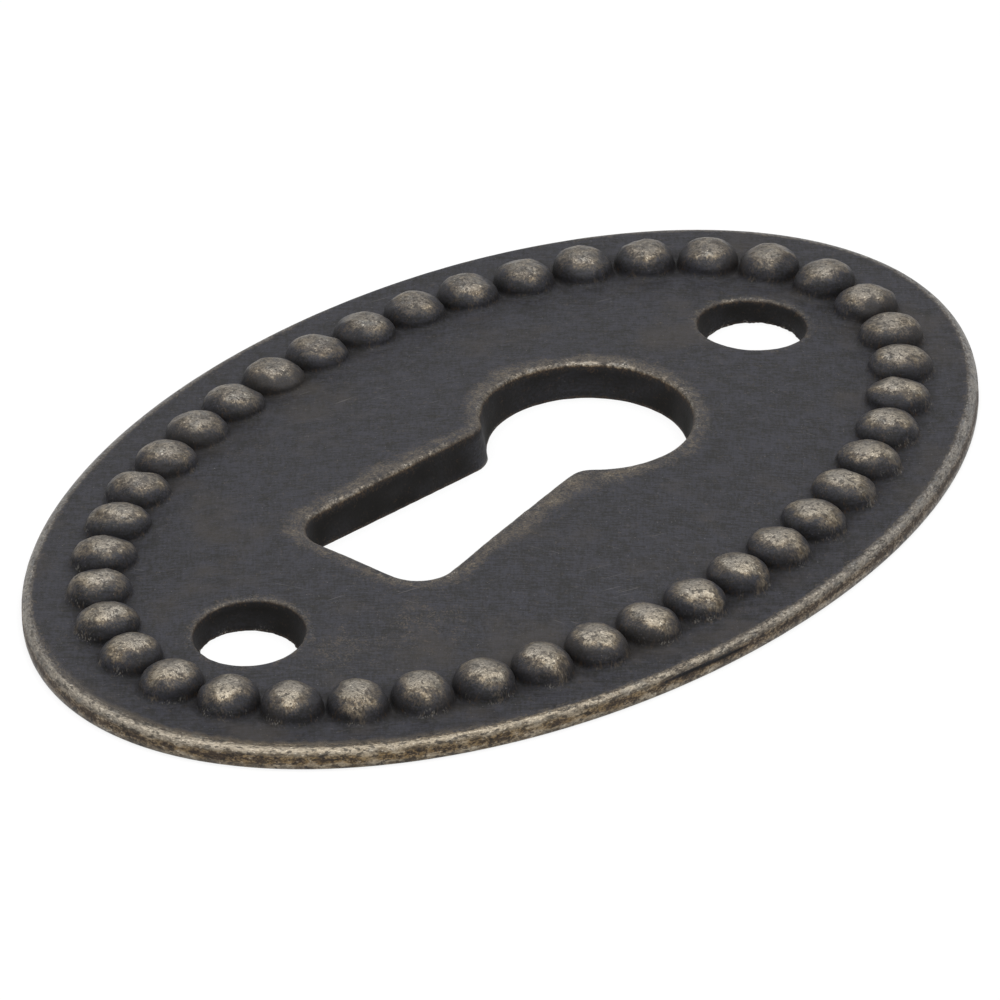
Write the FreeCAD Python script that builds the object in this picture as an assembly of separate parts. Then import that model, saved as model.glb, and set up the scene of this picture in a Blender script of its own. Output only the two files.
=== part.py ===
"""An oval keyhole escutcheon, cast in one piece: a thin flat border, a gently domed middle, a ring of
beads between the two, a keyhole, and two holes for its fixing screws.

Frame, in millimetres: the back lies flat on z = 0 and is centred on the origin, +Z comes out of the front,
+X is to the right and +Y points up the long axis, to the round head of the keyhole.
"""

import FreeCAD, Part
import math
import os

from FreeCAD import Vector

# The plate
plate_length = 40.0
plate_width = 26.0
border_thickness = 0.66
front_edge_round = 0.3
back_edge_break = 0.08
arc_tolerance = 0.03        # how closely the rim's arcs follow a true ellipse

# The beads
bead_inset_ends = 2.8       # from the plate's rim to the ring's centre line, at the top and bottom
bead_inset_sides = 2.63     # the same at the two sides
bead_diameter = 2.06
bead_height = 0.89          # above the border
bead_gap = 0.15             # between two beads
bead_root = 0.3             # how deep a bead reaches into the border
bead_sides = 14             # flats round a bead
bead_bands = 3              # flats from its foot to its top

# The domed middle
dome_rise = 0.83
dome_gap = 0.07             # from the beads to the foot of the dome

# The two screw holes
screw_inset = 6.74          # from the plate's rim to a hole's centre, at the top and bottom
screw_hole_radius = 1.95
screw_edge_break = 0.12

# The keyhole, measured at the height of the crown
head_radius = 3.64
web_above_head = 3.3        # metal left between the head and the upper screw hole
web_below_slot = 3.56       # and between the slot and the lower one
neck_width = 4.2            # where the two flanks would meet the head
slot_flare = 6.3            # degrees that each flank leans outwards, going down
neck_round = 0.93
slot_corner_round = 1.36
draft_angle = 9.5           # the walls close in towards the back
keyhole_edge_break = 0.15

# Where the openings lie along the plate
screw_y = plate_length / 2 - screw_inset
head_centre_y = screw_y - screw_hole_radius - web_above_head - head_radius
slot_foot_y = web_below_slot + screw_hole_radius - screw_y

# The ring that the beads stand on, and the oval that the domed middle covers
ring_half_length = plate_length / 2 - bead_inset_ends
ring_half_width = plate_width / 2 - bead_inset_sides
dome_half_length = ring_half_length - bead_diameter / 2 - dome_gap
dome_half_width = ring_half_width - bead_diameter / 2 - dome_gap
crown_height = border_thickness + dome_rise


def oval(half_length, half_width):
    """An ellipse on z = 0, with its long axis along Y."""
    return Part.Ellipse(Vector(0, half_length, 0), Vector(half_width, 0, 0), Vector(0, 0, 0))


def polar(centre, radius, angle):
    """The point at that radius and angle, in radians, round a centre."""
    return centre + Vector(radius * math.cos(angle), radius * math.sin(angle), 0)


def border_plate():
    """The flat oval that everything stands on, with a well-rounded front rim and a broken back rim."""
    arcs = oval(plate_length / 2, plate_width / 2).toBSpline().toBiArcs(arc_tolerance)
    outline = Part.Wire([arc.toShape() for arc in arcs])
    plate = Part.Face(outline).extrude(Vector(0, 0, border_thickness))
    middle = border_thickness / 2
    plate = plate.makeFillet(front_edge_round, [edge for edge in plate.Edges if edge.BoundBox.ZMin > middle])
    back = [edge for edge in plate.Edges if edge.BoundBox.ZMax < middle / 2]
    return plate.makeChamfer(back_edge_break, back)


def domed_middle():
    """The crown of the face: an arc across the plate, swung along a longer arc from end to end."""
    radius_along = (dome_half_length ** 2 + dome_rise ** 2) / (2 * dome_rise)
    left = Vector(-dome_half_width, 0, border_thickness)
    right = Vector(dome_half_width, 0, border_thickness)
    arc = Part.Arc(left, Vector(0, 0, crown_height), right).toShape()
    section = Part.Face(Part.Wire([arc, Part.makeLine(right, left)]))

    pivot = Vector(0, 0, crown_height - radius_along)
    swing = math.degrees(math.asin(plate_length / 2 / radius_along))
    section.rotate(pivot, Vector(1, 0, 0), swing)
    crown = section.revolve(pivot, Vector(1, 0, 0), -2 * swing)

    corner = Vector(-plate_width / 2, -plate_length / 2, border_thickness)
    return crown.common(Part.makeBox(plate_width, plate_length, dome_rise, corner))


def bead():
    """One bead on the Z axis: a ball worked in small flats, on a short root."""
    radius = bead_diameter / 2
    centre = border_thickness + bead_height - radius
    foot = math.asin((border_thickness - centre) / radius)
    step = (math.pi / 2 - foot) / (bead_bands + 0.5)
    rings = [(radius * math.cos(foot), border_thickness - bead_root)]
    for band in range(bead_bands + 1):
        latitude = foot + step * band
        rings.append((radius * math.cos(latitude), centre + radius * math.sin(latitude)))

    turns = [2 * math.pi * side / bead_sides for side in range(bead_sides)]
    corners = [[polar(Vector(0, 0, height), reach, turn) for turn in turns] for reach, height in rings]
    outlines = [corners[0], corners[-1]]
    for low, high in zip(corners, corners[1:]):
        outlines += [[low[side - 1], low[side], high[side], high[side - 1]] for side in range(bead_sides)]
    flats = [Part.Face(Part.makePolygon(outline + outline[:1])) for outline in outlines]
    return Part.Solid(Part.Shell(flats))


def bead_ring():
    """All the beads, at even steps along the ring, with one at each end of the plate."""
    path = oval(ring_half_length, ring_half_width)
    circumference = path.length()
    count = 2 * round(circumference / (bead_diameter + bead_gap) / 2)
    ring = []
    for number in range(count):
        turn = path.parameterAtDistance(circumference * number / count, 0)
        place = path.value(turn)
        copy = bead()
        copy.rotate(Vector(0, 0, 0), Vector(0, 0, 1), math.degrees(math.atan2(place.y, place.x)))
        ring.append(copy.translated(place))
    return ring


def keyhole_wire(inset, height):
    """The keyhole's outline at one height, smaller all round by the inset."""
    head = Vector(0, head_centre_y, 0)
    neck = head + Vector(neck_width / 2, -math.sqrt(head_radius ** 2 - neck_width ** 2 / 4), 0)
    flare = math.radians(slot_flare)
    flank = Vector(-math.sin(flare), math.cos(flare), 0)
    outward = Vector(flank.y, -flank.x, 0)

    # The neck's round lies in the metal, where it touches the flank and the head
    side = neck + outward * neck_round - head
    reach = math.sqrt((head_radius + neck_round) ** 2 - side.dot(outward) ** 2)
    neck_centre = head + side - flank * (side.dot(flank) + reach)

    # The slot's corner round lies in the opening, where it touches the flank and the lower edge
    inner = neck - outward * slot_corner_round
    corner_centre = inner + flank * ((slot_foot_y + slot_corner_round - inner.y) / flank.y)

    down = -math.pi / 2
    out = math.atan2(outward.y, outward.x)
    join = math.atan2(neck_centre.y - head.y, neck_centre.x - head.x)
    right = [
        polar(corner_centre, slot_corner_round - inset, down),
        polar(corner_centre, slot_corner_round - inset, (down + out) / 2),
        polar(corner_centre, slot_corner_round - inset, out),
        polar(neck_centre, neck_round + inset, math.pi + out),
        polar(neck_centre, neck_round + inset, math.pi + (out + join) / 2),
        polar(neck_centre, neck_round + inset, math.pi + join),
    ]
    left = [Vector(-point.x, point.y, 0) for point in right]
    top = polar(head, head_radius - inset, math.pi / 2)
    wire = Part.Wire([
        Part.Arc(right[0], right[1], right[2]).toShape(),
        Part.makeLine(right[2], right[3]),
        Part.Arc(right[3], right[4], right[5]).toShape(),
        Part.Arc(right[5], top, left[5]).toShape(),
        Part.Arc(left[5], left[4], left[3]).toShape(),
        Part.makeLine(left[3], left[2]),
        Part.Arc(left[2], left[1], left[0]).toShape(),
        Part.makeLine(left[0], right[0]),
    ])
    return wire.translated(Vector(0, 0, height))


def keyhole_core():
    """What leaves the keyhole: its walls are drafted, so the opening is widest at the front."""
    slope = math.tan(math.radians(draft_angle))
    below = -border_thickness
    above = crown_height + border_thickness
    low = keyhole_wire((crown_height - below) * slope, below)
    high = keyhole_wire((crown_height - above) * slope, above)
    return Part.makeLoft([low, high], True, True)


def screw_pin(side):
    """What leaves one screw hole: a straight pin, on the side given as 1 for the top or -1 for the bottom."""
    foot = Vector(0, side * screw_y, -border_thickness)
    return Part.makeCylinder(screw_hole_radius, crown_height + 2 * border_thickness, foot)


def break_edges(plate, core, edge_break):
    """The plate, with the edges that the core has left in its front broken by that much."""
    reach = core.BoundBox
    reach.enlarge(edge_break)
    edges = [
        edge for edge in plate.Edges
        if edge.BoundBox.ZMin > border_thickness / 2 and reach.isInside(edge.BoundBox)
    ]
    return plate.makeChamfer(edge_break, edges)


def escutcheon():
    """The finished casting."""
    keyhole = keyhole_core()
    screws = [screw_pin(1), screw_pin(-1)]
    plate = border_plate().fuse(domed_middle()).removeSplitter()
    plate = plate.cut([keyhole] + screws)
    plate = break_edges(plate, keyhole, keyhole_edge_break)
    for screw in screws:
        plate = break_edges(plate, screw, screw_edge_break)
    return plate.fuse(bead_ring()).removeSplitter()


os.makedirs("parts", exist_ok=True)
escutcheon().exportStep("parts/escutcheon_plate.step")
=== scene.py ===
import math
import random

import bmesh
import bpy
from mathutils import Matrix, Vector, noise
from mathutils.geometry import delaunay_2d_cdt
from mathutils.kdtree import KDTree


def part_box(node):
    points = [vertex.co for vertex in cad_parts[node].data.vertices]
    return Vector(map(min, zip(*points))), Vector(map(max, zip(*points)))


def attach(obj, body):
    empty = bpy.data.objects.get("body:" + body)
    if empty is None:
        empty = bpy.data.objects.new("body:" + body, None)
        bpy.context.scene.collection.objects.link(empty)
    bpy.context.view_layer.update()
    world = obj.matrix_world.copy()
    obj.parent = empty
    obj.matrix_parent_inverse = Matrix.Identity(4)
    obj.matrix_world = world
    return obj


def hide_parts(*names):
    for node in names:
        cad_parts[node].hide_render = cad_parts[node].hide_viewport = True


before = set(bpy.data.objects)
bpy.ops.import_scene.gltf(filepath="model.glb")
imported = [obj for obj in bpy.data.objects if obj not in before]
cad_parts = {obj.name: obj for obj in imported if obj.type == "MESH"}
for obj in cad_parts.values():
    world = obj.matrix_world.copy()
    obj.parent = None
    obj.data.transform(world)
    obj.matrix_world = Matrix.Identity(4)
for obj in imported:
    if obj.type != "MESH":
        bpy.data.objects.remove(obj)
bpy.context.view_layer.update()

mm = 0.001


# The view. The plate lies on its back and is seen from beyond its lower right, well above the table and
# through a long lens, so that its two sides stay almost parallel in the picture.
view_azimuth = 40.521       # degrees from -Y, towards +X
view_elevation = 30.763
view_distance = 583.8 * mm
view_roll = 0.665
view_aim = Vector((-0.108, -0.115, 0)) * mm
lens_length = 616.99        # millimetres, on a sensor 36 wide

azimuth = math.radians(view_azimuth)
elevation = math.radians(view_elevation)
towards_camera = Vector((
    math.sin(azimuth) * math.cos(elevation),
    -math.cos(azimuth) * math.cos(elevation),
    math.sin(elevation),
))
camera = bpy.data.objects.new("camera", bpy.data.cameras.new("camera"))
bpy.context.scene.collection.objects.link(camera)
bpy.context.scene.camera = camera
camera.data.sensor_width = 36
camera.data.lens = lens_length
camera.data.clip_start = 0.05
level = towards_camera.to_track_quat("Z", "Y").to_matrix().to_4x4()
roll = Matrix.Rotation(math.radians(-view_roll), 4, "Z")
camera.matrix_world = Matrix.Translation(view_aim + towards_camera * view_distance) @ level @ roll


# The table and the light. A white sheet on a studio table, under one large soft lamp overhead and a weak one
# behind the camera. The sheet and the room are white to the eye and in reflections, and the plate's shadow
# stays on the sheet.
sheet_radius = 1.5          # metres
sheet_sides = 32
sheet_gap = 0.01            # millimetres under the plate's back, so that the two don't share a plane
lamp_place = (0.0, 0.05, 0.7)            # metres
lamp_size = 0.8
lamp_power = 5.0            # watts
front_lamp_place = (0.5, -0.45, 0.45)
front_lamp_size = 0.5
front_lamp_power = 0.5
room_light = 0.55
sheet_white = "ffffff"
shadow_share = 0.22         # of the sheet's own shading that the eye sees near the plate
shadow_reach = (22, 60)     # millimetres from the middle of the plate, where that fades out


def linear(colour):
    """The linear red, green, blue and alpha of an sRGB hex colour."""
    parts = [int(colour[place:place + 2], 16) / 255 for place in (0, 2, 4)]
    return [part / 12.92 if part <= 0.04045 else ((part + 0.055) / 1.055) ** 2.4 for part in parts] + [1.0]


def add_node(tree, kind, settings=None, links=None):
    """Adds a node, sets its properties and input values, and links other sockets to its inputs."""
    node = tree.nodes.new(kind)
    for name, value in (settings or {}).items():
        if isinstance(name, str) and hasattr(node, name):
            setattr(node, name, value)
        else:
            node.inputs[name].default_value = value
    for name, socket in (links or {}).items():
        tree.links.new(socket, node.inputs[name])
    return node


def new_material(name):
    """An empty node material and its output node."""
    material = bpy.data.materials.new(name)
    material.use_nodes = True
    material.node_tree.nodes.clear()
    return material, add_node(material.node_tree, "ShaderNodeOutputMaterial")


def seen_directly(tree):
    """1 where a ray comes from the eye or from a reflection, and 0 where it only carries light."""
    path = add_node(tree, "ShaderNodeLightPath")
    either = add_node(tree, "ShaderNodeMath", {"operation": "MAXIMUM"}, {
        0: path.outputs["Is Camera Ray"],
        1: path.outputs["Is Glossy Ray"],
    })
    return add_node(tree, "ShaderNodeMath", {"operation": "MAXIMUM"}, {
        0: either.outputs[0],
        1: path.outputs["Is Transmission Ray"],
    }).outputs[0]


def white_sheet():
    """Matt white paper. It gives the eye a clean ground with no texture and only the plate's soft shadow, and
    from under the table it doesn't hide the plate's back."""
    material, output = new_material("matt_white_paper")
    tree = material.node_tree
    paper = add_node(tree, "ShaderNodeBsdfDiffuse", {"Color": linear(sheet_white)})
    glow = add_node(tree, "ShaderNodeEmission", {"Strength": 1.0})
    place = add_node(tree, "ShaderNodeNewGeometry").outputs["Position"]
    distance = add_node(tree, "ShaderNodeVectorMath", {"operation": "LENGTH"}, {0: place})
    near, far = [reach * mm for reach in shadow_reach]
    white = add_node(tree, "ShaderNodeMapRange", {
        "interpolation_type": "SMOOTHSTEP", "From Min": near, "From Max": far, "To Min": 1 - shadow_share,
    }, {"Value": distance.outputs["Value"]})
    share = add_node(tree, "ShaderNodeMath", {"operation": "MULTIPLY"}, {
        0: white.outputs[0],
        1: seen_directly(tree),
    })
    both = add_node(tree, "ShaderNodeMixShader", None, {
        0: share.outputs[0],
        1: paper.outputs[0],
        2: glow.outputs[0],
    })
    from_below = add_node(tree, "ShaderNodeNewGeometry").outputs["Backfacing"]
    surface = add_node(tree, "ShaderNodeMixShader", None, {
        0: from_below,
        1: both.outputs[0],
        2: add_node(tree, "ShaderNodeBsdfTransparent").outputs[0],
    })
    tree.links.new(surface.outputs[0], output.inputs["Surface"])
    return material


def add_lamp(name, size, power, place):
    """A square soft lamp that faces the plate."""
    lamp = bpy.data.objects.new(name, bpy.data.lights.new(name, "AREA"))
    bpy.context.scene.collection.objects.link(lamp)
    lamp.data.size = size
    lamp.data.energy = power
    lamp.location = place
    lamp.rotation_euler = Vector(place).to_track_quat("Z", "Y").to_euler()


sheet_mesh = bpy.data.meshes.new("table_sheet")
sheet_edge = []
for side in range(sheet_sides):
    turn = 2 * math.pi * side / sheet_sides
    sheet_edge.append((sheet_radius * math.cos(turn), sheet_radius * math.sin(turn), -sheet_gap * mm))
sheet_mesh.from_pydata(sheet_edge, [], [list(range(sheet_sides))])
sheet_mesh.materials.append(white_sheet())
sheet = bpy.data.objects.new("table_sheet", sheet_mesh)
bpy.context.scene.collection.objects.link(sheet)

add_lamp("overhead_lamp", lamp_size, lamp_power, lamp_place)
add_lamp("front_lamp", front_lamp_size, front_lamp_power, front_lamp_place)

world = bpy.data.worlds.new("room")
world.use_nodes = True
bpy.context.scene.world = world
world.node_tree.nodes.clear()
strength = add_node(world.node_tree, "ShaderNodeMapRange", {"To Min": room_light, "To Max": 1.0}, {
    "Value": seen_directly(world.node_tree),
})
background = add_node(world.node_tree, "ShaderNodeBackground", None, {"Strength": strength.outputs[0]})
world_output = add_node(world.node_tree, "ShaderNodeOutputWorld", None, {"Surface": background.outputs[0]})

bpy.context.scene.view_settings.view_transform = "Standard"


# The casting. A keyhole escutcheon is one small piece of cast brass: a flat border, a domed middle, a ring of
# beads, a keyhole and two screw holes. Its surface is built as one skin, point by point and in millimetres,
# and each point says how worn the metal is there.
low_corner, high_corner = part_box("escutcheon_plate")
half_width = high_corner.x / mm
half_length = high_corner.y / mm
top_of_beads = high_corner.z / mm

points = []
rubbed = []                 # how far handling has rubbed the dark finish away
sooted = []                 # how much old finish a recess has kept
burred = []                 # how thickly tumbling has raised small pale burrs
grained = []                # where the pattern of the wear is read, which draws it out along rim and beads
painted_reflection = []                 # how far the bare metal takes a painted greyish reflection of the pale room
faces = []


def put(place, rub=0.0, soot=0.0, burr=0.0, grain=None, grey=0.0):
    """Adds one point of the skin and returns its number."""
    points.append(Vector(place))
    rubbed.append(rub)
    sooted.append(soot)
    burred.append(burr)
    grained.extend(Vector(grain or place) * mm)
    painted_reflection.append(grey)
    return len(points) - 1


def join_loops(outer, inner):
    """Faces between two closed loops of equal length."""
    for place in range(len(outer)):
        faces.append((outer[place - 1], outer[place], inner[place], inner[place - 1]))


def waver(place, size, seed=0.0):
    """A smooth unevenness from -1 to 1, whose swells are about that many millimetres long."""
    spot = Vector((place[0], place[1], place[2] if len(place) > 2 else 0))
    return noise.noise(spot / size + Vector((seed, 7.3 * seed, 3.1)))


def ease(value, low, high):
    """0 below low, 1 above high, and a smooth climb between."""
    part = min(max((value - low) / (high - low), 0), 1)
    return part * part * (3 - 2 * part)


# The face. The border is flat. Inside the beads the middle swells gently to its crown, and the whole of it is
# slightly uneven, as a small casting is once its sand marks have been tumbled down.
border_height = 0.66
crown_height = 1.47
dome_fall = 1.148           # from the crown to the plate's outline, if the dome went on that far
dome_blend = 0.02
face_swell = 0.008


def face_height(x, y):
    """How high the face lies above the table there."""
    reach = (x / half_width) ** 2 + (y / half_length) ** 2
    gap = crown_height - dome_fall * reach - border_height
    raised = (gap + math.sqrt(gap * gap + dome_blend ** 2)) / 2
    return border_height + raised + face_swell * waver((x, y), 2.6) + face_swell / 3 * waver((x, y), 0.7, 5)


def oval_steps(width, length, count):
    """Even steps along an oval, from its top and anticlockwise: each one's place and outward direction."""
    fine = 4000
    around = [2 * math.pi * step / fine for step in range(fine + 1)]
    trail = [Vector((-width * math.sin(turn), length * math.cos(turn))) for turn in around]
    travelled = [0.0]
    for start, end in zip(trail, trail[1:]):
        travelled.append(travelled[-1] + (end - start).length)
    steps = []
    mark = 0
    for step in range(count):
        wanted = travelled[-1] * step / count
        while travelled[mark + 1] < wanted:
            mark += 1
        share = (wanted - travelled[mark]) / (travelled[mark + 1] - travelled[mark])
        turn = around[mark] + share * (around[mark + 1] - around[mark])
        place = Vector((-width * math.sin(turn), length * math.cos(turn)))
        outward = Vector((-length * math.sin(turn), width * math.cos(turn))).normalized()
        steps.append((place, outward))
    return steps


# The rim. Its front edge is well rounded and rubbed bright, least of all on the upper left. The side below it
# keeps its dark finish in brown blotches, and its foot is bright again, where the back was dressed flat. On
# the lower right a fold in the casting has left a dark crease, just under the bright edge.
rim_points = 760
rim_profile = [
    # inset from the outline, height, rubbed, unevenness of the wear, soot
    (0.520, 0.660, 0.00, 0.2, 0.0),
    (0.400, 0.660, 0.12, 0.2, 0.0),
    (0.300, 0.657, 0.62, 0.2, 0.0),
    (0.222, 0.646, 0.96, 0.4, 0.0),
    (0.150, 0.620, 1.05, 0.3, 0.0),
    (0.088, 0.572, 1.05, 0.3, 0.0),
    (0.040, 0.510, 0.92, 0.6, 0.2),
    (0.010, 0.438, 0.68, 0.8, 0.5),
    (0.000, 0.375, 0.62, 0.6, 0.9),
    (0.000, 0.310, 0.62, 0.6, 0.9),
    (0.000, 0.235, 0.68, 0.8, 0.5),
    (0.000, 0.160, 0.80, 0.7, 0.3),
    (0.000, 0.090, 0.88, 0.5, 0.1),
    (0.006, 0.030, 0.98, 0.2, 0.0),
    (0.035, 0.000, 0.60, 0.2, 0.0),
    (0.120, 0.000, 0.10, 0.2, 0.2),
]
rim_swell = 0.06            # how far the rim's foot stands out on the right
rim_streak = 1.7            # how far the pattern of the wear is drawn out along the rim
least_handled = math.radians(60)         # anticlockwise from the top of the plate
# Stretches of the rim, each as its middle and its reach, in degrees anticlockwise from the top of the plate
swollen = (303, 24)         # its foot stands out
fringed = (196, 32)         # the wear spreads inwards from it
spared = (60, 30)           # it is rubbed least
scuffed = (226, 46)         # its side is rubbed most
golden = (220, 70)          # it keeps its warm colour, without the painted reflection
crease_turns = (251.0, 263.0)            # the crease's two ends, in the same degrees
crease_heights = (0.46, 0.37)            # at its two ends
crease_depth = 0.05
crease_width = 0.045


def handling(place):
    """How much hands have rubbed that part of the plate: 0 on the upper left, 1 on the lower right."""
    turn = math.atan2(-place.x / half_width, place.y / half_length)
    return 0.5 - 0.5 * math.cos(turn - least_handled)


def near_turn(place, middle, reach):
    """1 at one turn round the plate, in degrees from its top, and less the further a place is from there."""
    turn = math.degrees(math.atan2(-place.x / half_width, place.y / half_length))
    away = (turn - middle + 180) % 360 - 180
    return math.exp(-(away / reach) ** 2)


def rim_loops():
    """The loops of the rim, from the edge of the face to the edge of the back."""
    steps = oval_steps(half_width, half_length, rim_points)
    start, end = [math.radians(turn) for turn in crease_turns]
    loops = []
    for inset, height, rub, mottle, soot in rim_profile:
        loop = []
        for place, outward in steps:
            uneven = 0.5 + 0.5 * waver(place, 1.1, 2)
            fine = 0.5 + 0.5 * waver((place.x, place.y, height * 2), 0.35, 4)
            turn = math.atan2(-place.x / half_width, place.y / half_length) % (2 * math.pi)
            along = (turn - start) / (end - start)
            crease = 0.0
            if 0 < along < 1:
                level = crease_heights[0] + along * (crease_heights[1] - crease_heights[0])
                crease = math.sin(math.pi * along) ** 0.5 * math.exp(-((height - level) / crease_width) ** 2)
            swell = rim_swell * near_turn(place, *swollen) * (1 - ease(height, 0.1, 0.6))
            spot = place - outward * (inset + 0.008 * uneven + 0.006 * fine + crease_depth * crease - swell)
            spot.x = min(max(spot.x, -half_width), half_width)
            lift = (face_height(spot.x, spot.y) - border_height) * ease(height, 0.5, border_height)
            grain = (place.x / rim_streak, place.y / rim_streak, height + inset)
            patch = 1.2 * waver(grain, 0.4, 6) + 0.8 * waver(grain, 0.15, 7)
            fringe = 0.8 * near_turn(place, *fringed) if inset > 0.2 else 0.0
            worn = (rub + fringe) * (0.92 - 0.85 * near_turn(place, *spared))
            worn += 0.4 * mottle * patch - 1.4 * crease
            worn += 0.25 * near_turn(place, *scuffed) if 0.1 < height < 0.45 else 0.0
            # Painted reflection: all round but the lower right, the rim is tinted greyish, standing for the
            # pale room mirrored in it.
            grey = 1 - near_turn(place, *golden)
            loop.append(put((spot.x, spot.y, height + lift), worn, max(soot, 0.9 * crease), 0.0, grain, grey))
        loops.append(loop)
    return loops


rim_rings = rim_loops()
for outer, inner in zip(rim_rings[1:], rim_rings):
    join_loops(outer, inner)


# The keyhole. It was cast with the plate, so its walls close in towards the back. Keys and fingers have
# rounded its front edge and rubbed it down to the brass, and the walls are black with old finish.
head_centre = Vector((0, 4.37))
head_radius = 3.64
half_neck = 2.1
slot_foot = -7.75
slot_flare = math.radians(6.3)
neck_round = 0.93
slot_corner_round = 1.36
wall_slope = math.tan(math.radians(9.5))
keyhole_lip = 0.2
keyhole_ragged = 0.006
outline_step = 0.15
lip_turns = (0, 16, 32, 48, 64, 80)      # degrees round the lip, from the face to the wall
lip_rub = (0.32, 0.44, 0.58, 0.66, 0.52, 0.2)
lip_soot = (0.0, 0.0, 0.0, 0.1, 0.45, 0.8)
lip_favoured = Vector((-0.65, 0.76))     # the side where the lips are rubbed most
wall_depths = (0.2, 0.45, 0.7, 0.88, 0.95, 1.0)     # shares of the way down to the back
back_margin = 0.1           # a narrow band round the opening on the back, so that its edge looks crisp there
wall_thin_soot_and_painted_sheen = [
    # place, size and depth where the keyhole's walls are made lighter: thinner soot on the rubbed corner of
    # the neck, and a painted sheen, standing for light reflected off the walls, on the neck and in the middle
    # of the head's far wall
    (-2.4, 1.2, 0.8, 0.6),
    (-2.6, 7.0, 2.2, 0.3),
]


def arc_run(centre, radius, start, end, length):
    """Points along an arc without its last one, in as many steps as its nominal length asks for."""
    count = max(3, round(length / outline_step))
    turns = [start + (end - start) * step / count for step in range(count)]
    return [centre + radius * Vector((math.cos(turn), math.sin(turn))) for turn in turns]


def line_run(start, end, length):
    """The same along a straight line."""
    count = max(3, round(length / outline_step))
    return [start.lerp(end, step / count) for step in range(count)]


def keyhole_outline(inset):
    """The keyhole's outline, smaller all round by the inset, anticlockwise from the middle of its foot."""
    flank = Vector((-math.sin(slot_flare), math.cos(slot_flare)))
    outward = Vector((flank.y, -flank.x))
    neck = head_centre + Vector((half_neck, -math.sqrt(head_radius ** 2 - half_neck ** 2)))

    side = neck + outward * neck_round - head_centre
    reach = math.sqrt((head_radius + neck_round) ** 2 - side.dot(outward) ** 2)
    neck_centre = head_centre + side - flank * (side.dot(flank) + reach)
    inner = neck - outward * slot_corner_round
    corner_centre = inner + flank * ((slot_foot + slot_corner_round - inner.y) / flank.y)

    out = math.atan2(outward.y, outward.x)
    to_neck = neck_centre - head_centre
    join = math.atan2(to_neck.y, to_neck.x)
    corner = slot_corner_round - inset
    bend = neck_round + inset
    foot = Vector((0, corner_centre.y - corner))
    toe = corner_centre - Vector((0, corner))
    flank_low = corner_centre + outward * corner
    flank_high = neck_centre - outward * bend
    top = Vector((0, head_centre.y + head_radius - inset))
    right = line_run(foot, toe, 1.8)
    right += arc_run(corner_centre, corner, -math.pi / 2, out, 2.3)
    right += line_run(flank_low, flank_high, 7.5)
    right += arc_run(neck_centre, bend, math.pi + out, math.pi + join, 0.9)
    right += arc_run(head_centre, head_radius - inset, join, math.pi / 2, 8.6)
    left = [Vector((-place.x, place.y)) for place in reversed(right[1:])]
    return right + [top] + left


def opening_loops(outline, lip, slope, ragged, worn, seed):
    """The loops of an opening's rounded lip and walls, from the face to the back. Ragged is how uneven the
    back edge is, in millimetres, and worn is how far the lip is rubbed, from 0 to 1."""
    edge = outline(0)
    wide = outline(-lip)
    outwards = [(outer - place).normalized() for outer, place in zip(wide, edge)]
    loops = []
    for turn, rub, soot in zip(lip_turns, lip_rub, lip_soot):
        angle = math.radians(turn)
        loop = []
        for outer, place, outward in zip(wide, outline(-lip * (1 - math.sin(angle))), outwards):
            uneven = 0.02 * waver(place, 0.8, seed) + 0.012 * waver(place, 0.3, seed + 3)
            spot = place + outward * uneven if turn else place
            height = face_height(outer.x, outer.y) - lip * (1 - math.cos(angle))
            patchy = 1 + 0.5 * waver(place, 1.6, seed + 8) + 0.5 * waver(place, 0.4, seed + 14)
            patchy += 0.25 * outward.dot(lip_favoured)
            burr = 0.4 * worn ** 2 * patchy * (1 - ease(turn, 30, 60))
            # The lips take a little of the painted greyish reflection too.
            loop.append(put((spot.x, spot.y, height), rub * worn * patchy, soot, burr, None, 0.3))
        loops.append(loop)
    shoulder = loops[-1]
    for share in wall_depths:
        loop = []
        for place, outward, start in zip(edge, outwards, shoulder):
            top = points[start].z
            height = top * (1 - share)
            rough = 0.015 * waver((place.x, place.y, height), 0.35, seed + 6)
            torn = 0.3 + 1.6 * max(0, waver(place, 1.3, seed + 13))
            teeth = waver(place, 0.28, seed + 7) + waver(place, 0.12, seed + 12)
            rough += ragged * torn * share ** 8 * teeth
            spot = place - outward * (slope * (top - height) + rough)
            soot = 0.9 + 0.4 * waver((place.x, place.y, 2 * height), 1.2, seed + 10)
            # Lighter patches on the walls: partly thinner soot, partly a painted sheen of reflected light.
            for x, y, size, lightened in wall_thin_soot_and_painted_sheen:
                soot -= lightened * math.exp(-((place.x - x) ** 2 + (place.y - y) ** 2) / size ** 2)
            rub = 0.45 * ease(share, 0.88, 1.0)
            burr = min(0.6, 15 * ragged) * ease(share, 0.85, 0.95)
            loop.append(put((spot.x, spot.y, height), rub, soot, burr))
        loops.append(loop)
    margin = []
    for number, outward in zip(loops[-1], outwards):
        margin.append(put(points[number] + (outward * back_margin).to_3d(), 0.1, 0.2))
    loops.append(margin)
    return loops


keyhole_rings = opening_loops(keyhole_outline, keyhole_lip, wall_slope, keyhole_ragged, 1.0, 11)
for outer, inner in zip(keyhole_rings, keyhole_rings[1:]):
    join_loops(outer, inner)


# The screw holes. Two cast holes for small round-headed screws. They narrow towards the back, where breaking
# through the thin skin left a ragged edge.
screw_radius = 1.88
screw_y = 13.26
screw_lip = 0.15
screw_slope = 0.24
screw_ragged = 0.07
screw_steps = 150


def screw_outline(side):
    """A function that gives one hole's outline at an inset."""
    centre = Vector((0, side * screw_y))

    def outline(inset):
        turns = [2 * math.pi * step / screw_steps for step in range(screw_steps)]
        return [centre + (screw_radius - inset) * Vector((math.cos(turn), math.sin(turn))) for turn in turns]

    return outline


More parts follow.
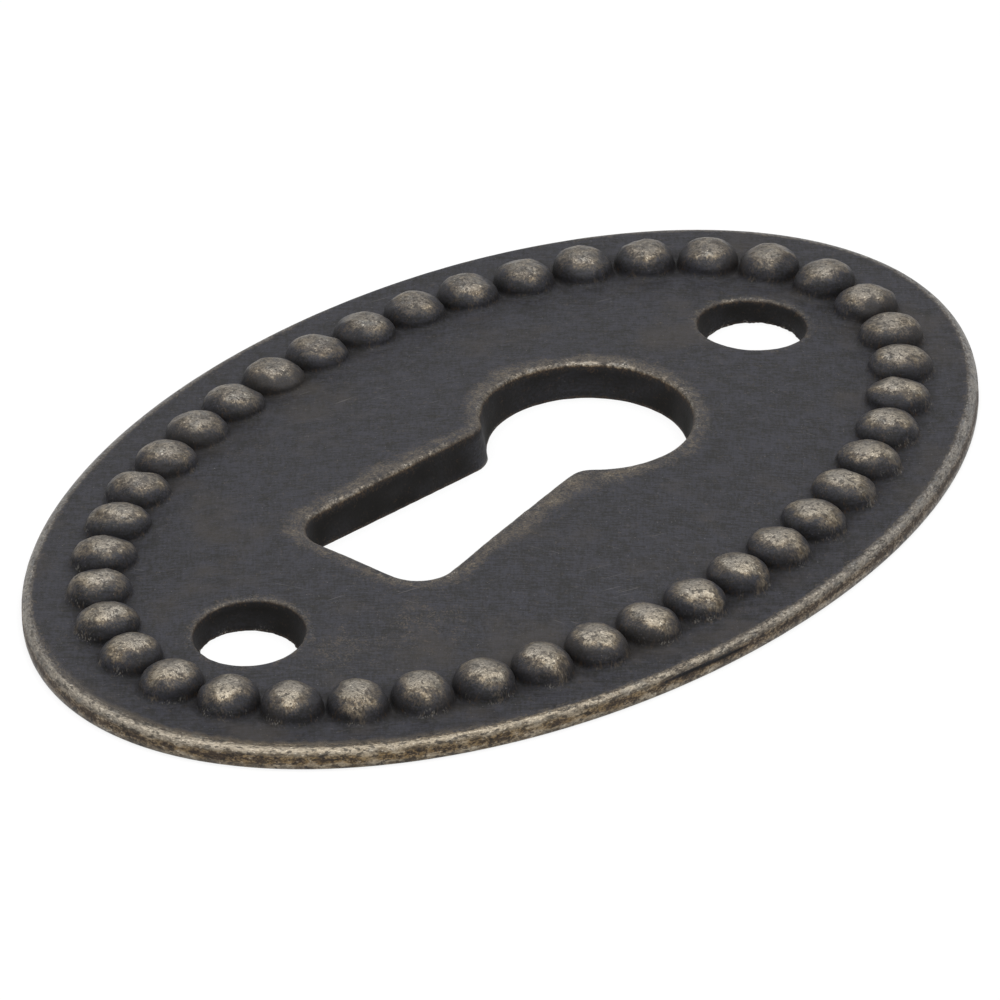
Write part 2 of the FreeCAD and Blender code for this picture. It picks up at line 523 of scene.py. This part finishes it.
screw_rings = []
for side in (1, -1):
    hole = screw_outline(side)
    screw_rings.append(opening_loops(hole, screw_lip, screw_slope, screw_ragged, 0.6, 20 + side))
for rings in screw_rings:
    for outer, inner in zip(rings, rings[1:]):
        join_loops(outer, inner)


# The beads. Each was a half ball in the pattern, and no two are alike now: tumbling has dented them and worn
# small flats, and their tops have lost the dark finish. Their feet run into the face in a tight fillet.
bead_count = 40
ring_half_length = 17.21
ring_half_width = 10.367
bead_across = 1.13          # half its width across the ring
bead_along = 1.06           # and along it
bead_sides = 48
bead_rings = 14
foot_fillet = 0.09
bead_squareness = 2.45      # 2 is an ellipse
bead_streak = 3.0           # how far the pattern of the wear is drawn out down its flanks
chance = random.Random(41)


def bead(place, outward, number):
    """One bead. Returns the loop where it meets the face."""
    along = Vector((-outward.y, outward.x))
    across = bead_across * chance.uniform(0.98, 1.02)
    length = bead_along * chance.uniform(0.985, 1.01)
    top = top_of_beads - chance.uniform(0.0, 0.035)
    lean = Vector((chance.uniform(-0.04, 0.04), chance.uniform(-0.04, 0.04)))
    handled = 0.82 + 0.3 * handling(place)
    flats = []
    for flat in range(3):
        turn = chance.uniform(0, 2 * math.pi)
        tilt = math.radians(chance.uniform(10, 48))
        direction = Vector((math.sin(tilt) * math.cos(turn), math.sin(tilt) * math.sin(turn), math.cos(tilt)))
        flats.append((direction, chance.uniform(0.955, 0.99)))

    def spot(turn, reach, height, foot):
        """A point of the bead: reach and height run from 0 to 1."""
        direction = outward * math.cos(turn) + along * math.sin(turn)
        radius = 1 / math.hypot(math.cos(turn) / across, math.sin(turn) / length)
        local = Vector((direction.x * reach, direction.y * reach, height))
        for flat, depth in flats:
            over = local.dot(flat) - depth
            if over > 0:
                local -= flat * over * 0.85
        seat = Vector((local.x * radius, local.y * radius, local.z))
        marks = seat + Vector((number * 3.7, 1.3 * number, 0))
        dent = 0.026 * noise.noise(marks / 0.55) + 0.018 * noise.noise(marks / 0.22)
        swell = 1 + dent * ease(height, 0.0, 0.3)
        flat_place = place + Vector((seat.x, seat.y)) * swell + lean * height
        rise = foot + (top - foot) * min(seat.z * swell, 1)
        return flat_place, rise

    loops = []
    for step in range(bead_rings + 1):
        angle = math.pi / 2 * (1 - step / (bead_rings + 0.6))
        reach = math.sin(angle) ** (2 / bead_squareness)
        height = math.cos(angle) ** (2 / bead_squareness) if step else 0.0
        loop = []
        for side in range(bead_sides):
            turn = 2 * math.pi * side / bead_sides
            base = spot(turn, 1.0, 0.0, 0.0)[0]
            foot = face_height(base.x, base.y)
            flat_place, rise = spot(turn, reach, height, foot)
            if step == 0:
                fillet = foot_fillet * (1 - 0.85 * math.sin(turn) ** 2)
                flat_place = flat_place + (flat_place - place).normalized() * fillet
                rise = face_height(flat_place.x, flat_place.y)
            sideways = abs(math.sin(turn)) * reach
            outwards = math.cos(turn) * reach
            sheltered = 1.35 * sideways ** 1.7 + (0.8 if outwards > 0 else 1.0) * abs(outwards) ** 2.0
            mark = Vector((flat_place.x, flat_place.y, rise)) / 0.45 + Vector((number, 0, 0))
            worn = handled * ease(1 - sheltered + 0.35 * noise.noise(mark), 0.03, 0.95)
            worn = 0.36 + (worn - 0.3) * ease(height, 0.0, 0.25) if step else 0.0
            soot = (0.08 + 0.55 * sideways ** 1.5) * (1 - ease(height, 0.35, 1.0))
            burr = 0.4 * ease(outwards, 0.2, 0.8) * (1 - ease(height, 0.1, 0.6)) if step else 0.0
            grain = (flat_place.x, flat_place.y, rise / bead_streak)
            # Painted reflection: the tops of the beads are tinted greyish, less on their outward side,
            # standing for the pale room mirrored in them.
            grey = 0.5 * ease(height, 0.8, 1.0) * (1 - 0.6 * ease(outwards, -0.1, 0.4))
            loop.append(put((flat_place.x, flat_place.y, rise), worn, soot, burr, grain, grey))
        loops.append(loop)
    for outer, inner in zip(loops, loops[1:]):
        join_loops(outer, inner)
    flat_place, rise = spot(0, 0, 1, border_height)
    grain = (flat_place.x, flat_place.y, rise / bead_streak)
    tip = put((flat_place.x, flat_place.y, rise), handled, 0, 0, grain, 0.45)
    last = loops[-1]
    for side in range(bead_sides):
        faces.append((last[side - 1], last[side], tip))
    return loops[0]


bead_feet = [
    bead(place, outward, number)
    for number, (place, outward) in enumerate(oval_steps(ring_half_width, ring_half_length, bead_count))
]


# The front and the back are filled between those loops. The front has close points of its own, because it
# swells and dips, and the back, which lies against the drawer, is flat.
front_spacing = 0.26
back_spacing = 0.9


def inside(place, outline):
    """Whether a place lies inside a closed outline."""
    odd = False
    before = outline[-1]
    for after in outline:
        if (after.y > place.y) != (before.y > place.y):
            crossing = before.x + (place.y - before.y) * (after.x - before.x) / (after.y - before.y)
            odd ^= place.x < crossing
        before = after
    return odd


def span(outline):
    """The left, right, bottom and top of an outline."""
    across = [place.x for place in outline]
    along = [place.y for place in outline]
    return min(across), max(across), min(along), max(along)


def fill(border, holes, spacing, height, rub, soot):
    """Triangles between a border loop and the loops of the holes, with points at that spacing."""
    loops = [border] + holes
    plans = [[points[number].to_2d() for number in loop] for loop in loops]
    spans = [span(plan) for plan in plans]
    tree = KDTree(sum(len(plan) for plan in plans))
    coordinates = []
    owners = []
    loop_of = []
    edges = []
    for which, (loop, plan) in enumerate(zip(loops, plans)):
        start = len(coordinates)
        for step, place in enumerate(plan):
            tree.insert(place.to_3d(), len(coordinates))
            edges.append((start + step, start + (step + 1) % len(plan)))
            coordinates.append(place)
            owners.append(loop[step])
            loop_of.append(which)
    tree.balance()

    def free(place):
        if tree.find(place.to_3d())[2] < 0.55 * spacing or not inside(place, plans[0]):
            return False
        for plan, (left, right, bottom, top) in zip(plans[1:], spans[1:]):
            if left < place.x < right and bottom < place.y < top and inside(place, plan):
                return False
        return True

    row_height = spacing * math.sqrt(3) / 2
    rows = int(half_length / row_height)
    columns = int(half_width / spacing) + 1
    for row in range(-rows, rows + 1):
        for column in range(-columns, columns + 1):
            shift = 0.5 * (row % 2)
            jitter = Vector((chance.uniform(-0.1, 0.1), chance.uniform(-0.1, 0.1))) * spacing
            place = Vector(((column + shift) * spacing, row * row_height)) + jitter
            if free(place):
                coordinates.append(place)
                owners.append(put((place.x, place.y, height(place.x, place.y)), rub(place), soot(place)))
                loop_of.append(-1)

    made = delaunay_2d_cdt(coordinates, edges, [], 1, 1e-7, True)
    triangles = made[2]
    sources = [origin[0] for origin in made[3]]
    for triangle in triangles:
        corners = [sources[corner] for corner in triangle]
        which = {loop_of[corner] for corner in corners}
        if len(which) == 1 and min(which) > 0:
            middle = sum((coordinates[corner] for corner in corners), Vector((0, 0))) / 3
            if inside(middle, plans[min(which)]):
                continue
        faces.append(tuple(owners[corner] for corner in corners))


keyhole_edge = KDTree(len(keyhole_rings[0]))
for number in keyhole_rings[0]:
    keyhole_edge.insert(points[number].to_2d().to_3d(), number)
keyhole_edge.balance()
wear_reach = 0.5            # how far the wear round the keyhole fades out over the face
deep_wear = [
    # place, size and added reach where keys and fingers have worn more of the face beside the keyhole
    (2.8, 0.4, 1.5, 1.3),
    (2.6, -2.8, 1.4, 0.9),
    (-3.6, 5.2, 1.6, 0.4),
    (-2.6, -6.6, 1.2, 0.5),
]
thin_spots = [
    # place, reach and depth of patches where the finish has gone brown
    (4.2, -9.2, 2.2, 0.16),
    (3.2, -12.1, 1.8, 0.16),
    (9.8, -1.6, 1.2, 0.18),
]


def face_rub(place):
    """How far a place on the face has been rubbed: close round the keyhole and in a few patches."""
    distance = keyhole_edge.find(place.to_3d())[2]
    reach = wear_reach * (1.3 + 1.1 * waver(place, 2.4, 31))
    for x, y, size, added in deep_wear:
        reach += added * math.exp(-((place.x - x) ** 2 + (place.y - y) ** 2) / size ** 2)
    rub = (0.46 + 0.3 * waver(place, 0.7, 32)) * (1 - ease(distance, 0.0, reach))
    for x, y, patch_reach, depth in thin_spots:
        apart = math.hypot(place.x - x, place.y - y) / patch_reach
        rub = max(rub, depth * (1 - ease(apart + 0.6 * waver(place, 0.6, 33), 0.1, 1.1)))
    return rub


bead_middles = KDTree(bead_count)
for number, (place, outward) in enumerate(oval_steps(ring_half_width, ring_half_length, bead_count)):
    bead_middles.insert(place.to_3d(), number)
bead_middles.balance()


def face_soot(place):
    """How much old finish a place on the face has kept: most in the gaps between two beads."""
    second = bead_middles.find_n(place.to_3d(), 2)[1][2]
    return 0.9 * (1 - ease(second, 1.15, 1.75))


fill(rim_rings[0], [keyhole_rings[0]] + [rings[0] for rings in screw_rings] + bead_feet,
     front_spacing, face_height, face_rub, face_soot)
fill(rim_rings[-1], [keyhole_rings[-1]] + [rings[-1] for rings in screw_rings],
     back_spacing, lambda x, y: 0.0, lambda place: 0.1, lambda place: 0.2)


# The finish. The brass was blackened all over and then tumbled, which took the black off everything that
# stands proud: the tops of the beads, the rim and the edges of the openings. Marks finer than 0.05 mm are too
# fine to show, so they are drawn coarser, from 0.05 mm upwards.
patina_black = "161514"
patina_blue = "2f2f36"
stain_brown = "35302b"
soot_black = "0d0b09"
bronze_brown = "453e37"
brass_deep = "453d33"
brass_pale = "857a69"
brass_grey = "6b6963"
stain_dark = "34291f"
brass_gold = "917a56"
painted_reflection_grey = "84878c"
rim_pale = "a69c8b"
scratch_pale = "868280"
burr_pale = "aaa59c"
# The colour of the painted glints: specks that stand for sparkles of light on the bare metal
painted_glint_pale = "cfc6b6"
streak_turn = math.radians(40)


def blackened_brass():
    """Brass, blackened and tumbled. It gives the eye a dry charcoal face with a slight sheen, and warm worn
    metal, speckled with black in its pits, on the beads and the edges."""
    material, output = new_material("blackened_brass")
    tree = material.node_tree
    where = add_node(tree, "ShaderNodeTexCoord").outputs["Object"]

    def grain(size, detail=3.0, roughness=0.6, stretch=1.0, turn=0.0, shift=0.0, where=where):
        """Cloudy noise whose clouds are about that many millimetres across, and drawn out along a turn."""
        place = add_node(tree, "ShaderNodeMapping", {
            "vector_type": "TEXTURE", "Location": (shift, shift, 0), "Rotation": (0, 0, turn),
            "Scale": (stretch, 1, 1),
        }, {"Vector": where})
        return add_node(tree, "ShaderNodeTexNoise", {
            "Scale": 1 / (size * mm), "Detail": detail, "Roughness": roughness,
        }, {"Vector": place.outputs[0]}).outputs["Fac"]

    def climb(value, low, high, to_low=0.0, to_high=1.0):
        """A smooth climb between two levels of a value."""
        return add_node(tree, "ShaderNodeMapRange", {
            "interpolation_type": "SMOOTHSTEP", "From Min": low, "From Max": high,
            "To Min": to_low, "To Max": to_high,
        }, {"Value": value}).outputs[0]

    def combine(operation, first, second):
        """A sum, product or the like of two values, either of them a plain number."""
        settings = {"operation": operation}
        links = {}
        for slot, value in enumerate((first, second)):
            if isinstance(value, (int, float)):
                settings[slot] = value
            else:
                links[slot] = value
        return add_node(tree, "ShaderNodeMath", settings, links).outputs[0]

    def blend(share, first, second):
        """One colour going over into another. Each is a hex colour or a socket."""
        node = add_node(tree, "ShaderNodeMix", {"data_type": "RGBA"}, {0: share})
        for socket, colour in ((node.inputs[6], first), (node.inputs[7], second)):
            if isinstance(colour, str):
                socket.default_value = linear(colour)
            else:
                tree.links.new(colour, socket)
        return node.outputs[2]

    rub = add_node(tree, "ShaderNodeAttribute", {"attribute_name": "rubbed"}).outputs["Fac"]
    soot = add_node(tree, "ShaderNodeAttribute", {"attribute_name": "sooted"}).outputs["Fac"]
    burr = add_node(tree, "ShaderNodeAttribute", {"attribute_name": "burred"}).outputs["Fac"]
    grey = add_node(tree, "ShaderNodeAttribute", {"attribute_name": "painted_reflection"}).outputs["Fac"]

    # Where the brass shows: the rubbed places, broken up by fine specks and larger blotches
    drawn = add_node(tree, "ShaderNodeAttribute", {"attribute_name": "grained"}).outputs["Vector"]
    speck = grain(0.07, 3.0, 0.65, where=drawn)
    blotch = grain(0.3, 3.0, where=drawn)
    broken = combine("ADD", climb(speck, 0.33, 0.67, 0.0, 0.4), combine("MULTIPLY", blotch, 0.7))
    laid_bare = combine("ADD", rub, broken)
    brown = climb(laid_bare, 0.68, 0.98)
    bare = climb(combine("SUBTRACT", laid_bare, combine("MULTIPLY", soot, 0.25)), 0.9, 1.42)

    # The dark finish: faint hairs one way, soft warm clouds, fine grain and a few pale scratches
    hairs = grain(0.07, 2.0, 0.6, 8.0, streak_turn)
    mottle = grain(0.7, 4.0)
    cloud = grain(3.5, 2.0, shift=0.02)
    fine = grain(0.1, 3.0, 0.7)
    cross_hairs = grain(0.09, 2.0, 0.6, 6.0, streak_turn + math.pi / 2)
    tone = combine("ADD", combine("MULTIPLY", hairs, 0.3), combine("MULTIPLY", cross_hairs, 0.2))
    tone = combine("ADD", tone, combine("MULTIPLY", mottle, 0.2))
    tone = combine("ADD", tone, combine("MULTIPLY", fine, 0.3))
    finish = blend(climb(tone, 0.4, 0.6), patina_black, patina_blue)
    finish = blend(climb(combine("ADD", cloud, combine("MULTIPLY", mottle, 0.3)), 0.66, 0.86, 0.0, 0.5),
                   finish, stain_brown)
    scratched = climb(grain(3.0, 1.0), 0.5, 0.62, 0.0, 0.22)
    for number, turn in enumerate((15, 68)):
        hair = climb(grain(0.06, 0.0, 0.5, 40.0, math.radians(turn), 0.01 * number), 0.8, 0.86)
        finish = blend(combine("MULTIPLY", hair, scratched), finish, scratch_pale)
    fleck = climb(grain(0.07, 1.0), 0.74, 0.8, 0.0, 0.5)
    finish = blend(fleck, finish, scratch_pale)
    finish = blend(combine("MULTIPLY", soot, 0.95), finish, soot_black)
    dots = climb(grain(0.05, 1.0, where=drawn), 0.55, 0.65)
    burrs = combine("MULTIPLY", dots, climb(grain(0.5, 1.0), 0.5, 0.64))
    burrs = combine("MULTIPLY", burrs, burr)

    # The worn metal: palest on the rim, with a painted greyish reflection of the pale room, painted glints of
    # light and dark pits
    metal = blend(climb(grain(0.22, 4.0, 0.65, where=drawn), 0.35, 0.65), brass_deep, brass_pale)
    metal = blend(climb(grain(0.45, 2.0), 0.5, 0.66, 0.0, 0.6), metal, brass_grey)
    metal = blend(climb(soot, 0.05, 0.6, 0.0, 0.7), metal, brass_gold)
    metal = blend(climb(rub, 0.82, 1.05, 0.0, 0.6), metal, rim_pale)
    # Painted reflection: a cool greyish tint over the bare metal, standing for the pale room mirrored in it.
    metal = blend(combine("MULTIPLY", grey, 0.55), metal, painted_reflection_grey)
    metal = blend(climb(speck, 0.35, 0.6, 0.45, 0.0), metal, brass_deep)
    # Painted glints: small pale specks on the bare metal that stand for sparkles of light
    painted_glints = climb(grain(0.1, 2.0, where=drawn), 0.58, 0.72, 0.0, 0.4)
    metal = blend(painted_glints, metal, painted_glint_pale)
    pits = climb(grain(0.15, 2.0, 0.6, where=drawn), 0.38, 0.45)
    shine = combine("MULTIPLY", bare, climb(pits, 0.0, 1.0, 0.3, 1.0))
    tarnish = blend(climb(soot, 0.1, 0.5), bronze_brown, stain_dark)
    tarnish = blend(climb(pits, 0.0, 1.0, 0.6, 0.0), tarnish, soot_black)
    colour = blend(shine, blend(brown, finish, tarnish), metal)
    colour = blend(burrs, colour, burr_pale)

    height = combine("ADD", grain(0.22, 3.0), combine("MULTIPLY", speck, 0.5))
    bump = add_node(tree, "ShaderNodeBump", {"Distance": 0.05 * mm}, {
        "Height": height,
        "Strength": climb(rub, 0.1, 0.7, 0.4, 0.9),
    })

    shader = add_node(tree, "ShaderNodeBsdfPrincipled", {"Specular IOR Level": 0.28}, {
        "Base Color": colour,
        "Metallic": shine,
        "Roughness": combine("ADD", climb(rub, 0.05, 0.35, 0.6, 0.4), combine("MULTIPLY", soot, 0.3)),
        "Normal": bump.outputs[0],
    })
    tree.links.new(shader.outputs[0], output.inputs["Surface"])
    return material


skin = bpy.data.meshes.new("escutcheon_skin")
skin.from_pydata([place * mm for place in points], [], faces)
skin.validate()
for name, values in (("rubbed", rubbed), ("sooted", sooted), ("burred", burred), ("painted_reflection", painted_reflection)):
    skin.attributes.new(name, "FLOAT", "POINT").data.foreach_set("value", values)
skin.attributes.new("grained", "FLOAT_VECTOR", "POINT").data.foreach_set("vector", grained)
skin.polygons.foreach_set("use_smooth", [True] * len(skin.polygons))
skin.materials.append(blackened_brass())
plate = bpy.data.objects.new("escutcheon_casting", skin)
bpy.context.scene.collection.objects.link(plate)

work = bmesh.new()
work.from_mesh(skin)
bmesh.ops.recalc_face_normals(work, faces=work.faces)
work.to_mesh(skin)
work.free()

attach(plate, "root")
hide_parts("escutcheon_plate")
